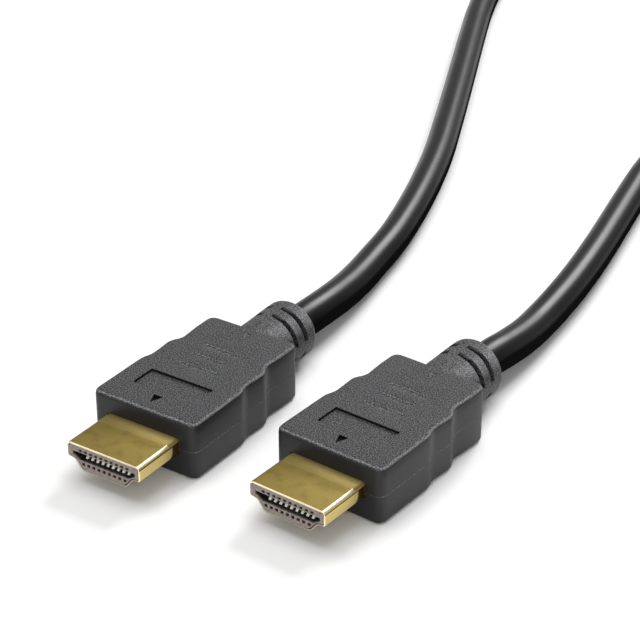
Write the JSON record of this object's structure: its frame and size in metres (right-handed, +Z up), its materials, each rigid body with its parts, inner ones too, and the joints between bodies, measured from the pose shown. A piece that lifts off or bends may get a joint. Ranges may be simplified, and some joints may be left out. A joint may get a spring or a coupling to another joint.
{
  "type": "digital video cable",
  "caption": "Flexible round audio-video cable with a moulded plug on each end, each with a flat-topped metal shell, laid in two loose curves and wound into a coil between them.",
  "frame": {"origin": "on the level surface that the cable lies on, at the middle of the two plugs' common box", "axes": "-Y points out of the first plug, along its shell; +Y is the way its cable leaves; +Z is up; +X is towards the second plug"},
  "size_m": [0.1517, 0.289, 0.0124],
  "materials": {
    "gilded_shell": "satin gold-coloured plating on a formed steel sheet",
    "contact_metal": "bright gold-coloured plating",
    "insulator": "moulded plastic, dull grey-mauve",
    "overmould": "moulded black plastic, fine-grained on top, smoother on the sides",
    "jacket": "smooth glossy black cable jacket"
  },
  "bodies": {
    "root": {"cord_a": "jacket", "cord_coil": "jacket", "cord_b": "jacket", "plug_a_shell": "gilded_shell", "plug_a_insulator": "insulator", "plug_a_overmould": "overmould", "plug_a_contact_01": "contact_metal", "plug_a_contact_02": "contact_metal", "plug_a_contact_03": "contact_metal", "plug_a_contact_04": "contact_metal", "plug_a_contact_05": "contact_metal", "plug_a_contact_06": "contact_metal", "plug_a_contact_07": "contact_metal", "plug_a_contact_08": "contact_metal", "plug_a_contact_09": "contact_metal", "plug_a_contact_10": "contact_metal", "plug_a_contact_11": "contact_metal", "plug_a_contact_12": "contact_metal", "plug_a_contact_13": "contact_metal", "plug_a_contact_14": "contact_metal", "plug_a_contact_15": "contact_metal", "plug_a_contact_16": "contact_metal", "plug_a_contact_17": "contact_metal", "plug_a_contact_18": "contact_metal", "plug_a_contact_19": "contact_metal", "plug_b_shell": "gilded_shell", "plug_b_insulator": "insulator", "plug_b_overmould": "overmould", "plug_b_contact_01": "contact_metal", "plug_b_contact_02": "contact_metal", "plug_b_contact_03": "contact_metal", "plug_b_contact_04": "contact_metal", "plug_b_contact_05": "contact_metal", "plug_b_contact_06": "contact_metal", "plug_b_contact_07": "contact_metal", "plug_b_contact_08": "contact_metal", "plug_b_contact_09": "contact_metal", "plug_b_contact_10": "contact_metal", "plug_b_contact_11": "contact_metal", "plug_b_contact_12": "contact_metal", "plug_b_contact_13": "contact_metal", "plug_b_contact_14": "contact_metal", "plug_b_contact_15": "contact_metal", "plug_b_contact_16": "contact_metal", "plug_b_contact_17": "contact_metal", "plug_b_contact_18": "contact_metal", "plug_b_contact_19": "contact_metal"}
  },
  "joints": []
}
